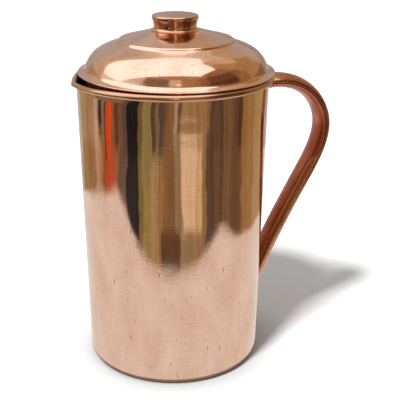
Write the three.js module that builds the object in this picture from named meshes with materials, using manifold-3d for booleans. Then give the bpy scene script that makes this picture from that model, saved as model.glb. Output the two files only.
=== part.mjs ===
// A tall sheet-copper water jug with a pinched pouring lip, a hollow handle and a lift-off lid.
// Millimetres, +Z up. The origin is the centre of the flat base, the handle is on +X and the
// pouring lip on -X. Soldered and lapped pieces keep a small gap so that each stays its own solid.
import * as THREE from 'three';
import { mergeVertices } from 'three/addons/utils/BufferGeometryUtils.js';
import Module from 'manifold-3d';

// ---- Driving dimensions ----

const GAP = 0.3; // between neighbouring pieces
const SHEET = 0.6; // copper sheet of the wall and the base

const MOUTH_RADIUS = 59.0; // outside of the wall at the mouth
const BASE_RADIUS = 55.6; // outside of the wall just above the base corner
const CORNER_RADIUS = 5.0; // rounded corner between wall and base
const FLANGE_RADIUS = 47.5; // inner edge of the wall's turned-in foot
const FLANGE_RISE = 4.0; // how far the base's upturned edge climbs inside the wall

const BEAD_RADIUS = 1.95; // outside of the rolled rim
const BEAD_HEIGHT = 185.3; // centre of the rolled rim
const BEAD_END = THREE.MathUtils.degToRad(-115); // where the rolled edge stops, near the wall

const LIP_FOOT = 175.5; // height where the wall starts to follow the pouring lip
const LIP_REACH = 1.1; // how far the lip's nose stands out past the rim
const LIP_SPREAD = 0.094; // half width of the nose, radians
const LIP_DROP = 2.35; // how far the rim dips at the lip
const DROP_SPREAD = 0.565; // half width of the dip, radians
const CHEEK_PULL = 1.65; // how far the rim is pinched in on both sides of the nose
const CHEEK_ANGLE = 0.525; // where it is pinched, radians from the nose
const CHEEK_SPREAD = 0.415;

const HANDLE_WIDTH = 18.6; // across the hand
const HANDLE_THICKNESS = 9.0; // from the back of the handle to the finger side
const HANDLE_SHEET = 0.9;
const HANDLE_LAP = 1.0; // half of the overlap between the outer and the inner half

const LID_OFFSET = 2.4; // the lid has side play and lies against the handle side
const LID_SHEET = 0.8;
const BRIM_RADIUS = 60.2;
const BRIM_HEIGHT = 188.4; // top of the brim's outer edge
const DOME_RADIUS = 55.65;
const DOME_FOOT = 191.6;
const STEP_RADIUS = 36.0; // small step pressed round the crown
const STEP_HEIGHT = 206.15;
const STEP_RISE = 1.8;
const CROWN_HEIGHT = 213.0; // flat pad in the middle of the lid
const CROWN_PAD_RADIUS = 15.3;
const COLLAR_RADIUS = 55.3; // outside of the ring that drops into the mouth
const COLLAR_FOOT = 180.5;
const COLLAR_TOP = 189.8;

const KNOB_OFFSET = 1.6; // the knob sits slightly off the lid's middle
const KNOB_RADIUS = 14.15;
const KNOB_NECK = 13.05;
const KNOB_FILLET = 1.9; // hollow curve from the neck out to the thin foot
const KNOB_EDGE = 0.7; // rounded upper edge
const KNOB_TOP = 222.0;
const SCREW_RADIUS = 2.0;
const SCREW_HOLE = 3.2; // radius of the loose hole in the lid
const SCREW_HEAD_RADIUS = 4.2;
const SCREW_HEAD = 2.4;
const WASHER_RADIUS = 6.5;
const WASHER_THICKNESS = 1.0;

const WALL_SEGMENTS = 56;
const LID_SEGMENTS = 48;
const LIP_FINENESS = 0.5; // gathers the wall's segments towards the lip
const HANDLE_STEPS = 27;

const wasm = await Module();
wasm.setup();

// ---- Shared shape work ----

const point = (radius, height) => new THREE.Vector2(radius, height);

function arc(centre, radius, from, to, steps) {
  return Array.from({ length: steps + 1 }, (_, i) => {
    const angle = THREE.MathUtils.lerp(from, to, i / steps);
    return point(centre.x + radius * Math.cos(angle), centre.y + radius * Math.sin(angle));
  });
}

// Turns a profile of (radius, height) points round the Z axis.
function turned(profile, segments) {
  return new THREE.LatheGeometry(profile, segments).rotateX(Math.PI / 2);
}

function closed(profile) {
  return [...profile, profile[0].clone()];
}

// The same profile moved sideways by a sheet's thickness, to the right of its direction.
function offset(profile, distance) {
  return profile.map((at, i) => {
    const before = profile[Math.max(i - 1, 0)];
    const after = profile[Math.min(i + 1, profile.length - 1)];
    const along = after.clone().sub(before).normalize();
    return point(at.x + along.y * distance, at.y - along.x * distance);
  });
}

function toSolid(geometry) {
  const bare = geometry.clone();
  bare.deleteAttribute('normal');
  bare.deleteAttribute('uv');
  const merged = mergeVertices(bare, 1e-4);
  const vertProperties = new Float32Array(merged.attributes.position.array);
  const triVerts = new Uint32Array(merged.index.array);
  return new wasm.Manifold(new wasm.Mesh({ numProp: 3, vertProperties, triVerts }));
}

function toGeometry(solid) {
  const mesh = solid.getMesh();
  const geometry = new THREE.BufferGeometry();
  geometry.setAttribute('position', new THREE.BufferAttribute(mesh.vertProperties, 3));
  geometry.setIndex(new THREE.BufferAttribute(mesh.triVerts, 1));
  geometry.computeVertexNormals();
  return geometry;
}

function piece(name, geometry, color, roughness) {
  const material = new THREE.MeshStandardMaterial({ color, roughness, metalness: 1 });
  const mesh = new THREE.Mesh(geometry, material);
  mesh.name = name;
  return mesh;
}

// ---- Jug: wall, rim wire and base ----

// Outside radius of the tapered wall.
function wallRadius(height) {
  const share = (height - CORNER_RADIUS) / (BEAD_HEIGHT - CORNER_RADIUS);
  return THREE.MathUtils.lerp(BASE_RADIUS, MOUTH_RADIUS, Math.max(share, 0));
}

// Gathers a turned piece's segments towards -X, then pinches its rim into the pouring lip.
function pinchLip(geometry) {
  const position = geometry.attributes.position;
  for (let i = 0; i < position.count; i += 1) {
    const even = Math.atan2(-position.getY(i), -position.getX(i));
    const angle = even - LIP_FINENESS * Math.sin(even);
    const height = position.getZ(i);
    const grow = THREE.MathUtils.smoothstep(height, LIP_FOOT, BEAD_HEIGHT + BEAD_RADIUS) ** 2;
    const nose = Math.exp(-((angle / LIP_SPREAD) ** 2));
    const cheek = Math.exp(-(((Math.abs(angle) - CHEEK_ANGLE) / CHEEK_SPREAD) ** 2));
    const swell = grow * (LIP_REACH * nose - CHEEK_PULL * cheek);
    const radius = Math.hypot(position.getX(i), position.getY(i)) + swell;
    const drop = grow * LIP_DROP * Math.exp(-((angle / DROP_SPREAD) ** 2));
    position.setXYZ(i, -radius * Math.cos(angle), -radius * Math.sin(angle), height - drop);
  }
  geometry.computeVertexNormals();
  return geometry;
}

const bead = point(MOUTH_RADIUS - SHEET + BEAD_RADIUS, BEAD_HEIGHT);
const corner = point(BASE_RADIUS - CORNER_RADIUS, CORNER_RADIUS);

// One sheet: turned-in foot, rounded corner, tapered side and a rim rolled outwards over a wire.
function wallGeometry() {
  const rises = [0.935, 0.955, 0.975]; // the wall is straight up to the lip's foot
  const heights = rises.map((share) => THREE.MathUtils.lerp(CORNER_RADIUS, BEAD_HEIGHT, share));
  const side = heights.map((height) => point(wallRadius(height), height));
  const outside = [
    point(FLANGE_RADIUS, 0),
    ...arc(corner, CORNER_RADIUS, -Math.PI / 2, 0, 3),
    ...side,
    ...arc(bead, BEAD_RADIUS - SHEET, Math.PI, BEAD_END, 7),
  ];
  const inside = [
    ...arc(bead, BEAD_RADIUS, BEAD_END, Math.PI, 7),
    ...side.map((at) => point(at.x - SHEET, at.y)).reverse(),
    ...arc(corner, CORNER_RADIUS - SHEET, 0, -Math.PI / 2, 3),
    point(FLANGE_RADIUS, SHEET),
  ];
  return pinchLip(turned(closed([...outside, ...inside]), WALL_SEGMENTS));
}

// The wire that the rim is rolled over, which keeps the mouth stiff.
function wireGeometry() {
  const radius = BEAD_RADIUS - SHEET - GAP;
  const section = arc(bead, radius, 0, 2 * Math.PI, 6);
  return pinchLip(turned(section, WALL_SEGMENTS));
}

// A shallow pan: its middle is flush with the foot, its edge laps over the foot and up the wall.
function baseGeometry() {
  const lap = SHEET + GAP;
  const stepRadius = FLANGE_RADIUS - 2 * GAP;
  const edgeHeight = CORNER_RADIUS + FLANGE_RISE;
  const edgeRadius = wallRadius(edgeHeight) - lap;
  const underside = [
    point(0, 0),
    point(stepRadius - SHEET, 0),
    point(stepRadius, lap),
    ...arc(corner, CORNER_RADIUS - lap, -Math.PI / 2, 0, 3),
    point(edgeRadius, edgeHeight),
  ];
  const topside = [
    point(edgeRadius - SHEET, edgeHeight),
    ...arc(corner, CORNER_RADIUS - lap - SHEET, 0, -Math.PI / 2, 3),
    point(stepRadius - SHEET / 2, lap + SHEET),
    point(stepRadius - 1.5 * SHEET, SHEET),
    point(0, SHEET),
  ];
  return pinchLip(turned([...underside, ...topside], WALL_SEGMENTS));
}

// ---- Handle: an outer and an inner half, lapped and brazed into one hollow bow ----

// Centre line in the XZ plane, from inside the mouth's wall round to inside the lower wall.
function handlePath() {
  const at = (x, z) => new THREE.Vector3(x, 0, z);
  const root = at(61.1, 177.4);
  const rootHeading = 0.14; // the handle leaves the wall slightly upwards
  const crest = at(102.6, 146.1); // furthest out
  const foot = at(62.7, 57.9);
  const footHeading = 1.152; // steepness of the lower leg, from the horizontal
  const rise = at(Math.cos(rootHeading), Math.sin(rootHeading));
  const fall = at(Math.cos(footHeading), Math.sin(footHeading));
  const start = root.clone().addScaledVector(rise, -8);
  const end = foot.clone().addScaledVector(fall, -34);
  const rootPull = root.clone().addScaledVector(rise, 27.6);
  const footPull = foot.clone().addScaledVector(fall, 54.9);
  const path = new THREE.CurvePath();
  path.add(new THREE.LineCurve3(start, root));
  path.add(new THREE.CubicBezierCurve3(root, rootPull, at(crest.x, crest.z + 14.8), crest));
  path.add(new THREE.CubicBezierCurve3(crest, at(crest.x, crest.z - 20.4), footPull, foot));
  path.add(new THREE.LineCurve3(foot, end));
  return path;
}

// One half of the section: a round back with straight flanks. back is 1 for the finger side and
// -1 for the outer side, because the section's +Y points to the finger side along the path.
function halfSection(halfWidth, back) {
  const depth = HANDLE_THICKNESS / 2 - HANDLE_LAP;
  const hollowWidth = halfWidth - HANDLE_SHEET;
  const hollowDepth = depth - HANDLE_SHEET;
  const steps = 6;
  const outer = [];
  const inner = [];
  for (let i = 0; i <= steps; i += 1) {
    const angle = (Math.PI * i) / steps;
    const side = Math.cos(angle);
    const bulge = Math.sin(angle);
    outer.push(point(halfWidth * side, back * (HANDLE_LAP + depth * bulge)));
    inner.push(point(hollowWidth * side, back * (HANDLE_LAP + hollowDepth * bulge)));
  }
  const flank = -back * HANDLE_LAP;
  const outline = [
    point(halfWidth, flank),
    ...outer,
    point(-halfWidth, flank),
    point(-hollowWidth, flank),
    ...inner.reverse(),
    point(hollowWidth, flank),
  ];
  return new THREE.Shape(outline);
}

// Sweeps a half along the path and trims both ends to the wall.
function handleHalf(halfWidth, back) {
  const extrudePath = handlePath();
  const shape = halfSection(halfWidth, back);
  const bow = new THREE.ExtrudeGeometry(shape, { steps: HANDLE_STEPS, extrudePath });
  const wall = [
    point(0, 1),
    point(BASE_RADIUS + GAP, CORNER_RADIUS),
    point(MOUTH_RADIUS + GAP, BEAD_HEIGHT),
    point(0, BEAD_HEIGHT),
  ];
  const filled = pinchLip(turned(wall, WALL_SEGMENTS));
  return toGeometry(toSolid(bow).subtract(toSolid(filled)));
}

// ---- Lid: domed shell, locating collar and a knob held by a screw from below ----

// Outer surface of the lid from the screw hole to the brim's edge.
function lidSurface() {
  const crown = new THREE.CubicBezierCurve(
    point(CROWN_PAD_RADIUS, CROWN_HEIGHT),
    point(20, 211.5),
    point(31.2, 208.6),
    point(STEP_RADIUS - 2, STEP_HEIGHT + STEP_RISE),
  );
  const dome = new THREE.CubicBezierCurve(
    point(STEP_RADIUS, STEP_HEIGHT),
    point(44.7, 202.7),
    point(51.5, 202.0),
    point(DOME_RADIUS, DOME_FOOT),
  );
  const brim = new THREE.QuadraticBezierCurve(
    point(DOME_RADIUS + 0.25, DOME_FOOT - 0.35),
    point(56.4, 189.5),
    point(BRIM_RADIUS, BRIM_HEIGHT),
  );
  const hole = point(SCREW_HOLE, CROWN_HEIGHT);
  return [hole, ...crown.getPoints(3), ...dome.getPoints(8), ...brim.getPoints(3)];
}

function lidGeometry() {
  const surface = lidSurface();
  const underside = offset(surface, LID_SHEET);
  return turned(closed([...underside, ...surface.reverse()]), LID_SEGMENTS);
}

function collarGeometry() {
  const section = [
    point(COLLAR_RADIUS - 0.4, COLLAR_FOOT),
    point(COLLAR_RADIUS, COLLAR_FOOT + 0.6),
    point(COLLAR_RADIUS, COLLAR_TOP),
    point(COLLAR_RADIUS - LID_SHEET, COLLAR_TOP),
    point(COLLAR_RADIUS - LID_SHEET, COLLAR_FOOT + 0.4),
  ];
  return turned(closed(section), LID_SEGMENTS);
}

// A turned button with hollowed sides and a thin flared foot, bored from below for its screw.
function knobGeometry() {
  const seat = CROWN_HEIGHT + GAP;
  const hole = SCREW_RADIUS + GAP;
  const footEdge = 0.15;
  const footRadius = KNOB_NECK + KNOB_FILLET;
  const neckHeight = seat + footEdge + KNOB_FILLET;
  const foot = arc(point(footRadius, neckHeight), KNOB_FILLET, -Math.PI / 2, -Math.PI, 3);
  const waist = new THREE.QuadraticBezierCurve(
    point(KNOB_NECK, neckHeight),
    point(KNOB_NECK, neckHeight + 2),
    point(KNOB_RADIUS, KNOB_TOP - 2.2),
  );
  const rimCentre = point(KNOB_RADIUS - KNOB_EDGE, KNOB_TOP - KNOB_EDGE);
  const profile = [
    point(0, KNOB_TOP - 2.4),
    point(hole, KNOB_TOP - 2.4),
    point(hole, seat),
    point(footRadius, seat),
    ...foot,
    ...waist.getPoints(4).slice(1),
    ...arc(rimCentre, KNOB_EDGE, 0, Math.PI / 2, 3),
    point(0, KNOB_TOP),
  ];
  return turned(profile, 32);
}

function washerGeometry() {
  const top = CROWN_HEIGHT - LID_SHEET - GAP;
  const hole = SCREW_RADIUS + GAP;
  const section = [
    point(hole, top - WASHER_THICKNESS),
    point(WASHER_RADIUS, top - WASHER_THICKNESS),
    point(WASHER_RADIUS, top),
    point(hole, top),
  ];
  return turned(closed(section), 24);
}

// A slotted pan-head screw, driven up through washer and lid into the knob.
function screwGeometry() {
  const seat = CROWN_HEIGHT - LID_SHEET - WASHER_THICKNESS - 2 * GAP;
  const head = seat - SCREW_HEAD;
  const profile = [
    point(0, head),
    point(SCREW_HEAD_RADIUS - 1.2, head),
    point(SCREW_HEAD_RADIUS - 0.3, head + 0.6),
    point(SCREW_HEAD_RADIUS, head + 1.4),
    point(SCREW_HEAD_RADIUS, seat),
    point(SCREW_RADIUS, seat),
    point(SCREW_RADIUS, KNOB_TOP - 3.4),
    point(SCREW_RADIUS - 0.6, KNOB_TOP - 2.8),
    point(0, KNOB_TOP - 2.8),
  ];
  const slot = new THREE.BoxGeometry(4 * SCREW_HEAD_RADIUS, 1.0, 2.0).translate(0, 0, head);
  return toGeometry(toSolid(turned(profile, 24)).subtract(toSolid(slot)));
}

// ---- Assembly ----

const POLISHED = '#c08a63';
const ANNEALED = '#9c5b45';
const BRASS = '#b58a4e';

const jug = new THREE.Group();
jug.add(
  piece('body_wall', wallGeometry(), '#c79672', 0.25),
  piece('rim_wire', wireGeometry(), BRASS, 0.5),
  piece('base_pan', baseGeometry(), '#bd8a68', 0.4),
  piece('handle_shell', handleHalf(HANDLE_WIDTH / 2, -1), POLISHED, 0.25),
  piece('handle_liner', handleHalf(HANDLE_WIDTH / 2 - HANDLE_SHEET - GAP, 1), ANNEALED, 0.4),
);

const knob = new THREE.Group();
knob.position.x = KNOB_OFFSET - LID_OFFSET;
knob.add(
  piece('knob', knobGeometry(), '#b9794e', 0.15),
  piece('knob_washer', washerGeometry(), BRASS, 0.5),
  piece('knob_screw', screwGeometry(), BRASS, 0.45),
);

const lid = new THREE.Group();
lid.position.x = LID_OFFSET;
lid.add(
  piece('lid_shell', lidGeometry(), '#c8936c', 0.2),
  piece('lid_collar', collarGeometry(), '#b9835f', 0.4),
  knob,
);

const waterJug = new THREE.Group();
waterJug.add(jug, lid);

export default waterJug;
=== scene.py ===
"""A tall polished copper water jug with a domed lid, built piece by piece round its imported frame.
All sizes are in metres. +X points to the handle, -X to the pouring lip, +Z up."""

import bmesh
import bpy
import math
import numpy as np
from mathutils import Matrix, Vector, noise


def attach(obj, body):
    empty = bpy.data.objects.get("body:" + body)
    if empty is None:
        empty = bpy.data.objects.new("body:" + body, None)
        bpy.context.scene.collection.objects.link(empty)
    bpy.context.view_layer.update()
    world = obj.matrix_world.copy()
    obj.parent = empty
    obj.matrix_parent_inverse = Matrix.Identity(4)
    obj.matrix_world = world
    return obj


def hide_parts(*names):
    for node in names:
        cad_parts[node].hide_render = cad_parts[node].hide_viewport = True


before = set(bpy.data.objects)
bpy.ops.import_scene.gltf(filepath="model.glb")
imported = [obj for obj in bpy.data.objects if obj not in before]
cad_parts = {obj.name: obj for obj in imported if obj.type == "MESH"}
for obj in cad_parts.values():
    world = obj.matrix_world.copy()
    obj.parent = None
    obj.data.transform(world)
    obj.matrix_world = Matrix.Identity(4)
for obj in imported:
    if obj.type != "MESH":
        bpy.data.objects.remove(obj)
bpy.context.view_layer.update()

# --- Camera -----------------------------------------------------------------------------------
# A short telephoto on a tripod, half a metre away and a little above the lid. The handle is
# turned away from the camera, so the pouring lip comes slightly forward on the left.
TURN = math.radians(17.0)  # how far the handle is turned back
DISTANCE = 0.531
EYE_HEIGHT = 0.3045
PITCH = 0.3622
YAW = 0.0325
ROLL = 0.0079
LENS = 79.06
SENSOR = 36.0
NEAREST = 0.01

heading = TURN + YAW
forward = Vector((
    math.sin(heading) * math.cos(PITCH),
    math.cos(heading) * math.cos(PITCH),
    -math.sin(PITCH),
))
level = forward.cross(Vector((0, 0, 1))).normalized()
right = level * math.cos(ROLL) + level.cross(forward) * math.sin(ROLL)
up = right.cross(forward)
camera = bpy.data.objects.new("camera", bpy.data.cameras.new("camera"))
camera.data.lens = LENS
camera.data.sensor_width = SENSOR
camera.data.clip_start = NEAREST
camera.matrix_world = Matrix((
    (right.x, up.x, -forward.x, -DISTANCE * math.sin(TURN)),
    (right.y, up.y, -forward.y, -DISTANCE * math.cos(TURN)),
    (right.z, up.z, -forward.z, EYE_HEIGHT),
    (0, 0, 0, 1),
))
bpy.context.scene.collection.objects.link(camera)
bpy.context.scene.camera = camera


# --- Studio -----------------------------------------------------------------------------------
# A plain white table and one soft lamp. Polished copper shows what stands round it, so there is a
# sheet of white paper under the jug, flat patches of floor past its edge, a dome of patches for the
# room, and a white panel overhead. Only reflections see these.
def linear(hex_colour):
    """An sRGB hex colour as the linear colour with alpha that nodes take."""
    parts = [int(hex_colour[i : i + 2], 16) / 255 for i in (1, 3, 5)]
    return [c / 12.92 if c <= 0.04045 else ((c + 0.055) / 1.055) ** 2.4 for c in parts] + [1.0]


def add(tree, kind, feeds=(), **settings):
    """Adds a node, applies its settings, and sets or links each input named in feeds."""
    node = tree.nodes.new(kind)
    for name, value in settings.items():
        setattr(node, name, value)
    for socket, feed in dict(feeds).items():
        if isinstance(feed, bpy.types.NodeSocket):
            tree.links.new(feed, node.inputs[socket])
        else:
            node.inputs[socket].default_value = feed
    return node


def new_material(name):
    """An empty node material and its output node."""
    material = bpy.data.materials.new(name)
    material.use_nodes = True
    material.node_tree.nodes.clear()
    return material, add(material.node_tree, "ShaderNodeOutputMaterial")


def mesh_object(name, points, faces):
    mesh = bpy.data.meshes.new(name)
    mesh.from_pydata([tuple(p) for p in points], [], faces)
    piece = bpy.data.objects.new(name, mesh)
    bpy.context.scene.collection.objects.link(piece)
    return piece


def facing(direction):
    """The bearing of a direction seen from the camera's side, 0 towards the camera."""
    return math.radians(direction) - math.pi / 2 - TURN


def table_white():
    """Matt white laminate, with painted contact shade: its colour darkens close round a foot."""
    material, output = new_material("matt_white_table")
    tree = material.node_tree
    # Painted shade: ambient occlusion turns the table's colour grey-blue where the foot stands near.
    corner_shade = add(tree, "ShaderNodeAmbientOcclusion", {"Distance": SHADE_REACH}).outputs["AO"]
    tone = add(tree, "ShaderNodeMix", {
        "Factor": corner_shade, 6: linear("#68727a"), 7: linear("#f4f4f4"),
    }, data_type="RGBA").outputs[2]
    shader = add(tree, "ShaderNodeBsdfPrincipled", {"Base Color": tone, "Roughness": 0.9})
    tree.links.new(shader.outputs[0], output.inputs["Surface"])
    return material


def glowing(name, colour, strength=1.0, streaks=0.0):
    """A surface that only reflections see. Streaks, from 0 to 1, vary it from bearing to bearing."""
    material, output = new_material(name)
    tree = material.node_tree
    place = add(tree, "ShaderNodeTexCoord").outputs["Object"]
    parts = add(tree, "ShaderNodeSeparateXYZ", {0: place}).outputs
    bearing = add(tree, "ShaderNodeMath", {0: parts["Y"], 1: parts["X"]}, operation="ARCTAN2").outputs[0]
    bands = add(tree, "ShaderNodeTexNoise", {
        "W": bearing, "Scale": STREAKS_PER_RADIAN, "Detail": 5.0, "Roughness": 0.65,
    }, noise_dimensions="1D").outputs["Fac"]
    light = add(tree, "ShaderNodeMapRange", {
        "Value": bands, "From Min": 0.3, "From Max": 0.7,
        "To Min": strength * (1 - streaks), "To Max": strength * (1 + streaks)}).outputs[0]
    shader = add(tree, "ShaderNodeEmission", {"Color": linear(colour), "Strength": light})
    tree.links.new(shader.outputs[0], output.inputs["Surface"])
    return material


def only_reflected(piece, material):
    """A stage object that nothing but a reflection shows, and that throws no shadow."""
    piece.data.materials.append(material)
    piece.visible_camera = False
    piece.visible_diffuse = False
    piece.visible_shadow = False


def steady(reach):
    """An edge that lies the same distance from the jug's axis at every bearing."""
    return lambda bearing: reach


def ring_sector(name, start, end, inner, outer, height):
    """A flat piece of a ring between two bearings in degrees. inner and outer give its edges."""
    steps = max(2, int((end - start) / SECTOR_STEP))
    points = []
    for i in range(steps + 1):
        bearing = start + (end - start) * i / steps
        angle = facing(bearing)
        for reach in (inner(bearing), outer(bearing)):
            points.append((reach * math.cos(angle), reach * math.sin(angle), height))
    return mesh_object(name, points, [(2 * i, 2 * i + 1, 2 * i + 3, 2 * i + 2) for i in range(steps)])


# How far the painted contact shade on the table reaches from the foot.
SHADE_REACH = 0.032
STREAKS_PER_RADIAN = 26.0  # strips of the room from a few centimetres wide up
SECTOR_STEP = 3  # degrees
TABLE_HALF = 4.0
table = mesh_object("table", [
    (-TABLE_HALF, -TABLE_HALF, 0), (TABLE_HALF, -TABLE_HALF, 0),
    (TABLE_HALF, TABLE_HALF, 0), (-TABLE_HALF, TABLE_HALF, 0)], [(0, 1, 2, 3)])
table.data.materials.append(table_white())
table.visible_glossy = False

PAPER_FRONT = 0.187  # from the jug's axis to the paper's cut front edge
PAPER_BULGE = 0.022  # how much further it reaches in the middle of that edge
BULGE_SPREAD = 28  # degrees
PAPER_LEFT = 0.348
PAPER_RIGHT = 0.250
PAPER_BACK = 0.318
FRONT_CORNERS = 6  # the higher, the squarer the paper's corners
BACK_CORNERS = 2
PAPER_GLOW = 0.95
FOOT_SHADE = 0.0575  # radius of the dark ring of painted shade where the foot stands on the paper
# The paper is highest, then the strip of shade, then the floor, all just under the table's top.
PAPER_HEIGHT = -0.0005
STRIP_HEIGHT = -0.0008
FLOOR_HEIGHT = -0.001


def paper_edge(bearing):
    """How far the paper reaches from the jug's axis: long to the sides, cut short at the front."""
    ahead, beside = math.cos(math.radians(bearing)), abs(math.sin(math.radians(bearing)))
    front = PAPER_FRONT + PAPER_BULGE * math.exp(-((bearing / BULGE_SPREAD) ** 2))
    side = PAPER_LEFT if bearing < 0 else PAPER_RIGHT
    power, length = (FRONT_CORNERS, front) if ahead > 0 else (BACK_CORNERS, PAPER_BACK)
    return ((abs(ahead) / length) ** power + (beside / side) ** power) ** (-1 / power)


# The paper is in three pieces, greyer behind the jug on the left.
for name, start, end, colour in (("paper_behind_left", -180, -163, "#b6bbc4"),
                                 ("paper_beside_left", -163, -146, "#dadce2"),
                                 ("paper", -146, 180, "#f5f2ef")):
    sheet = ring_sector(name, start, end, steady(FOOT_SHADE), paper_edge, PAPER_HEIGHT)
    only_reflected(sheet, glowing(name, colour, PAPER_GLOW, streaks=0.02))
# A dark ring of paper round the foot, seen only in reflections: painted shade for the gap under the rounded
# corner.
foot_shade = ring_sector("foot_shade", -180, 180, steady(0.001), steady(FOOT_SHADE), PAPER_HEIGHT)
only_reflected(foot_shade, glowing("shaded_paper", "#9a8478"))

# What lies on the floor past the paper, from behind on the left round the camera to behind on the
# right: where each thing starts, in degrees from the camera, how far its near colour reaches from
# the jug's axis, and its colour near by and far off. The names are labels for made-up things.
SURROUNDINGS = [
    ("pale_wall_left", -180, 0.47, "#c8c4c0", "#c8c4c0"),
    ("wooden_shelf", -140, 0.50, "#a88e66", "#b6a680"),
    ("pale_shelf", -122, 0.50, "#a4865e", "#b09a7c"),
    ("plaster", -110, 0.50, "#aa8c6c", "#bca088"),
    ("plaster_edge", -103, 0.50, "#c4ac94", "#c6b49e"),
    ("shelf_shadow", -95, 0.54, "#bc8a52", "#4a382e"),
    ("wooden_post", -89.5, 0.50, "#a4644a", "#8c8270"),
    ("post_edge", -85, 0.45, "#9c6a50", "#5e4436"),
    ("orange_cloth", -82.5, 0.50, "#cc5e38", "#dc5826"),
    ("rust_cloth", -75, 0.50, "#c46444", "#966e4a"),
    ("brown_curtain", -70, 0.50, "#a08060", "#6e4034"),
    ("curtain_fold", -65, 0.50, "#7c6654", "#7c6656"),
    ("grey_chair", -60, 0.47, "#766a62", "#665a54"),
    ("doorway", -54, 0.47, "#38383a", "#262829"),
    ("door_post", -39.5, 0.47, "#8a8058", "#786a50"),
    ("olive_wall", -35, 0.40, "#a09c62", "#949060"),
    ("door_frame", -25, 0.46, "#b4a67c", "#5a4c38"),
    ("door_edge", -20.5, 0.46, "#ac9a70", "#807052"),
    ("cardboard", -16, 0.46, "#a28961", "#5c534d"),
    ("brown_box", -11, 0.50, "#94784f", "#705c46"),
    ("box_edge", -7, 0.50, "#8a6f52", "#846a4b"),
    ("pale_box", -3, 0.50, "#8a6f52", "#8c7250"),
    ("gap_of_light", 1.5, 0.55, "#a1936c", "#b4a890"),
    ("chair_leg", 6, 0.56, "#a08f78", "#6c5452"),
    ("linen", 10, 0.54, "#ecdcc0", "#a89068"),
    ("linen_edge", 24, 0.53, "#dccca4", "#a28c64"),
    ("shade", 33, 0.50, "#a08660", "#a88e66"),
    ("shade_edge", 38, 0.55, "#68584a", "#90785c"),
    ("cupboard", 43, 0.50, "#604f42", "#5e4e44"),
    ("cupboard_door", 47.5, 0.50, "#745e4a", "#6c5846"),
    ("cupboard_gap", 53.5, 0.50, "#64523e", "#5c4a3a"),
    ("cupboard_side", 58, 0.50, "#7e664c", "#7c664c"),
    ("cupboard_end", 69, 0.50, "#765e48", "#7a6248"),
    ("dark_corner", 75, 0.50, "#705a48", "#665040"),
    ("corner_gap", 81.5, 0.47, "#7c644a", "#584434"),
    ("golden_wood", 87, 0.50, "#a68a58", "#a08254"),
    ("golden_plank", 96, 0.50, "#aa9062", "#a88c5e"),
    ("golden_wood_end", 110, 0.50, "#bca882", "#b8a472"),
    ("white_wall_right", 137, 0.47, "#dce4e8", "#bab8b6"),
]
FAR_REACH = 3.0
for i, (name, start, near_reach, near_colour, far_colour) in enumerate(SURROUNDINGS):
    end = SURROUNDINGS[i + 1][1] if i + 1 < len(SURROUNDINGS) else 180
    near = ring_sector(name + "_near", start, end, paper_edge, steady(near_reach), FLOOR_HEIGHT)
    only_reflected(near, glowing(name + "_near", near_colour, streaks=0.22))
    far = ring_sector(name + "_far", start, end, steady(near_reach), steady(FAR_REACH), FLOOR_HEIGHT)
    only_reflected(far, glowing(name + "_far", far_colour, streaks=0.34))

# A strip of shade on the floor just past the middle of the paper's front edge.
STRIP_REACH = 0.285
for name, start, end, colour in (("shaded_strip", -13, 7, "#68523e"), ("strip_end", 7, 34, "#a09070")):
    strip = ring_sector(name, start, end, paper_edge, steady(STRIP_REACH), STRIP_HEIGHT)
    only_reflected(strip, glowing(name, colour, streaks=0.3))


def dome_patch(name, start, end, low, high):
    """A patch of the round room: bearings and heights above the horizon in degrees."""
    columns = max(2, int((end - start) / DOME_STEP))
    rows = 4
    points, faces = [], []
    for i in range(columns + 1):
        angle = facing(start + (end - start) * i / columns)
        for j in range(rows + 1):
            lift = math.radians(low + (high - low) * j / rows)
            flat = FAR_REACH * math.cos(lift)
            points.append((flat * math.cos(angle), flat * math.sin(angle), FAR_REACH * math.sin(lift)))
    for i in range(columns):
        for j in range(rows):
            k = i * (rows + 1) + j
            faces.append((k, k + 1, k + rows + 2, k + rows + 1))
    return mesh_object(name, points, faces)


# The room itself in bands of height, in degrees: where each patch starts and its colour, as above.
DOME_STEP = 5  # degrees
ROOM = [
    (-6, 15, [(-180, "#b8b0ac"), (-140, "#b09a84"), (-100, "#8c7866"), (-60, "#6c5c50"), (-15, "#9c8468"),
              (15, "#8c7458"), (45, "#5c4638"), (90, "#8c7050"), (140, "#a89c90")]),
    (15, 31, [(-180, "#bcb8b4"), (-140, "#d0bca0"), (-108, "#f0e4dc"), (-50, "#c8b4a0"), (-38, "#907460"),
              (-8, "#c0ac98"), (8, "#a08060"), (30, "#845c48"), (42, "#5c4234"), (86, "#a0784c"),
              (105, "#b49464"), (140, "#b8b0ac")]),
    (31, 46, [(-180, "#ccc0b4"), (-150, "#d8c4a8"), (-60, "#e0ccbc"), (-45, "#8c705c"), (-10, "#e0d0b8"),
              (6, "#b08c60"), (30, "#9c6c4c"), (44, "#74503c"), (86, "#98704c"), (100, "#b09064"),
              (150, "#c4ac90")]),
    (46, 90, [(-180, "#e0d6c0"), (-130, "#d4c0a4"), (-50, "#b89470"), (45, "#9c7c5c"), (95, "#b8946a"),
              (130, "#d8bc98"), (155, "#e2d6c2")]),
]
for band, (low, high, patches) in enumerate(ROOM):
    for i, (start, colour) in enumerate(patches):
        end = patches[i + 1][0] if i + 1 < len(patches) else 180
        name = f"room_{band}_{i:02d}"
        only_reflected(dome_patch(name, start, end, low, high), glowing(name, colour, streaks=0.08))

# A tall narrow bright patch on the camera's side, such as a window would give.
window = dome_patch("window", 0.5, 4.5, -6, 36)
only_reflected(window, glowing("bright_window", "#fff4ea", strength=1.7))

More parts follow.
